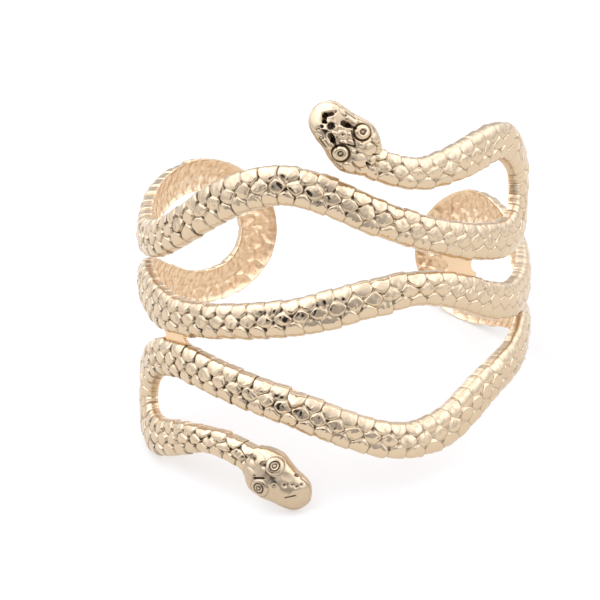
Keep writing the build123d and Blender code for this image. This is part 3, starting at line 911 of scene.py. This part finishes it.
def web_piece(name, start, end, strand):
    """A flat web with a rounded slot end at each side."""
    inner = BACK_RADIUS + WEB_INSET
    outer = inner + WEB_THICKNESS
    middle = math.radians((start + end) / 2) * MID_RADIUS
    top = strand_edge(strand, middle, -1)
    bottom = strand_edge(strand + 1, middle, 1)
    slot = (top - bottom) / 2
    corner = WEB_CORNER
    profile = [(0.0, inner + corner), (0.0, outer - corner), (corner * 0.3, outer - corner * 0.3),
               (corner, outer)]
    loops = []
    for level in np.linspace(-slot - WEB_BITE, slot + WEB_BITE, WEB_ROWS):
        cut = slot - math.sqrt(max(slot**2 - min(abs(level), slot) ** 2, 0.0))
        left = math.radians(start) * inner - cut
        right = math.radians(end) * inner + cut
        flat = np.linspace(left + 2 * corner, right - 2 * corner, WEB_COLUMNS)
        loop = [(left + off, radius) for off, radius in profile]
        loop += [(along, outer) for along in flat]
        loop += [(right - off, radius) for off, radius in reversed(profile)]
        loop += [(right - corner, inner)]
        loop += [(along, inner) for along in flat[::-1]]
        loop += [(left + corner, inner)]
        loops.append([(radius * math.sin(along / inner), -radius * math.cos(along / inner),
                       (top + bottom) / 2 + level) for along, radius in loop])
    grid = np.array(loops)
    rows, across = grid.shape[:2]
    index = np.arange(rows * across).reshape(rows, across)
    onward = np.roll(index, -1, axis=1)
    faces = np.stack([index[:-1], onward[:-1], onward[1:], index[1:]], axis=-1).reshape(-1, 4)
    faces = faces.tolist() + [index[0].tolist()[::-1], index[-1].tolist()]
    mesh = bpy.data.meshes.new(name)
    mesh.from_pydata(on_table(grid.reshape(-1, 3)).tolist(), [], faces)
    mesh.polygons.foreach_set("use_smooth", [True] * len(mesh.polygons))
    mesh.set_sharp_from_angle(angle=WEB_CREASE)
    mesh.materials.append(unpolished)
    dress(name, mesh)
    print("its slots have a radius of", round(slot, 2), "mm")


for web in WEBS:
    web_piece(*web)

# %% [markdown]
# ## The white sweep
# The cuff is photographed on white paper that fills the picture. Paper lit only by lamps comes out
# grey at the far end, so this one also gives off a little light of its own, enough to read as white
# and to keep a faint shadow under the cuff.

# %% Floor
bpy.ops.mesh.primitive_plane_add(size=3.0, location=(0, 0, 0))
floor = bpy.context.object
floor.name = "sweep"
sweep = bpy.data.materials.new("white sweep")
sweep.use_nodes = True
paper = sweep.node_tree.nodes["Principled BSDF"]
paper.inputs["Base Color"].default_value = (0.36, 0.36, 0.36, 1)
paper.inputs["Roughness"].default_value = 0.85
paper.inputs["Specular IOR Level"].default_value = 0.1
paper.inputs["Emission Color"].default_value = (1, 0.975, 0.94, 1)
paper.inputs["Emission Strength"].default_value = 0.555
floor.data.materials.append(sweep)
print("floor", [round(v, 2) for v in floor.dimensions])

# %% [markdown]
# ## The camera
# The photograph was taken from far off with a long lens, a little above the middle of the cuff and
# to its right. So the camera is placed in the cuff's own upright frame, looking at the middle of the
# arm's hollow, and then turned a little so that the cuff stands where it does in the picture.

# %% Camera
# focal length and turn aside and up, as shares of the picture's width of 600
FOCAL_SHARE = 2979 / 600
TURN_ASIDE, TURN_UP = 34 / 600, 6 / 600
EYE_DISTANCE = 570.0
EYE_YAW, EYE_RISE = math.radians(4.0), math.radians(5.5)
eye_way = np.array([
    math.sin(EYE_YAW) * math.cos(EYE_RISE),
    -math.cos(EYE_YAW) * math.cos(EYE_RISE),
    math.sin(EYE_RISE),
])
arm_up = Vector(lay_down @ np.array([0.0, 0.0, 1.0]))
eye = Vector(on_table(eye_way * EYE_DISTANCE))
sight = (Vector(arm_point) - eye).normalized()
side = sight.cross(arm_up).normalized()
above = side.cross(sight)
sight = (sight * FOCAL_SHARE - side * TURN_ASIDE + above * TURN_UP).normalized()
side = sight.cross(arm_up).normalized()
above = side.cross(sight)
camera_data = bpy.data.cameras.new("studio camera")
camera_data.sensor_width = 36.0
camera_data.lens = FOCAL_SHARE * camera_data.sensor_width
camera_data.clip_start = 0.05
camera = bpy.data.objects.new("studio camera", camera_data)
bpy.context.scene.collection.objects.link(camera)
turn = Matrix((side, above, -sight)).transposed().to_4x4()
camera.matrix_world = Matrix.Translation(eye) @ turn
bpy.context.scene.camera = camera
print("camera looks down at", round(math.degrees(math.asin(-sight.z)), 1), "degrees")

# %% [markdown]
# ## The light and the room
# Polished plate shows the room that it stands in. Here that is a white one, brighter toward the
# ceiling, with a bright box on either side of the photographer and a dimmer gap between the boxes.
# At the left of the gap and a little low is the dark round of the lens, which the scales at the
# front of the cuff mirror. All of it belongs to the world, not to the metal, so it stays put when
# the camera moves. One soft lamp above gives the shadow.

# %% Lamp
lamp_light = bpy.data.lights.new("top box", "AREA")
lamp_light.size = 1.0
lamp_light.energy = 1.6
lamp = bpy.data.objects.new("top box", lamp_light)
lamp.location = (-0.2, 0.30, 0.9)
to_cuff = Vector((0, 0, 0.03)) - lamp.location
lamp.rotation_euler = to_cuff.to_track_quat("-Z", "Y").to_euler()
bpy.context.scene.collection.objects.link(lamp)
print("lamp is", round(to_cuff.length, 2), "m from the cuff")


# %% The room that the plate mirrors
def level_ramp(tree, stops, tint=(1, 1, 1)):
    """A ramp of levels of one tint, from a few places and levels."""
    ramp = tree.nodes.new("ShaderNodeValToRGB")
    elements = ramp.color_ramp.elements
    while len(elements) < len(stops):
        elements.new(0.5)
    for element, (position, level) in zip(elements, stops):
        element.position = position
        element.color = (level * tint[0], level * tint[1], level * tint[2], 1)
    return ramp


SKY_TINT = (1.0, 1.035, 1.15)
LENS_OFF = -0.64
LENS_DROP = 0.12
GAP_ASIDE = 0.08
world = bpy.data.worlds.new("white room")
world.use_nodes = True
bpy.context.scene.world = world
room = world.node_tree
room.nodes.clear()
direction = room.nodes.new("ShaderNodeTexCoord")
to_eye = (eye - Vector(arm_point)).normalized()
near_lens = add_node(room, "ShaderNodeVectorMath", operation="DOT_PRODUCT")
near_lens.inputs[1].default_value = (to_eye + LENS_OFF * side - LENS_DROP * above).normalized()
to_side = add_node(room, "ShaderNodeVectorMath", operation="DOT_PRODUCT")
to_side.inputs[1].default_value = side - GAP_ASIDE * to_eye
either_side = add_node(room, "ShaderNodeMath", operation="ABSOLUTE")
split = room.nodes.new("ShaderNodeSeparateXYZ")
opening = level_ramp(room, [(0.75, 1.0), (0.90, 0.82), (0.95, 0.54), (0.975, 0.42),
                            (0.991, 0.02)])
boxes = level_ramp(room, [(0.20, 0.0), (0.52, 1.0), (0.85, 0.85)])
gap = level_ramp(room, [(0.0, 0.54), (0.30, 0.66), (0.45, 0.80), (0.95, 1.5)], SKY_TINT)
bright = level_ramp(room, [(0.0, 0.88), (0.25, 1.28), (0.60, 2.1), (0.90, 2.5)], SKY_TINT)
lit = add_node(room, "ShaderNodeMix", data_type="RGBA")
whole = add_node(room, "ShaderNodeVectorMath", operation="MULTIPLY")
glow = room.nodes.new("ShaderNodeBackground")
sky = room.nodes.new("ShaderNodeOutputWorld")
for end in (near_lens.inputs[0], to_side.inputs[0], split.inputs[0]):
    room.links.new(direction.outputs["Generated"], end)
room.links.new(near_lens.outputs["Value"], opening.inputs["Fac"])
room.links.new(to_side.outputs["Value"], either_side.inputs[0])
room.links.new(either_side.outputs[0], boxes.inputs["Fac"])
room.links.new(split.outputs["Z"], gap.inputs["Fac"])
room.links.new(split.outputs["Z"], bright.inputs["Fac"])
room.links.new(boxes.outputs["Color"], lit.inputs[0])
room.links.new(gap.outputs["Color"], lit.inputs[6])
room.links.new(bright.outputs["Color"], lit.inputs[7])
room.links.new(opening.outputs["Color"], whole.inputs[0])
room.links.new(lit.outputs[2], whole.inputs[1])
room.links.new(whole.outputs["Vector"], glow.inputs["Color"])
room.links.new(glow.outputs[0], sky.inputs["Surface"])
bpy.context.scene.view_settings.view_transform = "Standard"
print("the room has", len(room.nodes), "nodes")
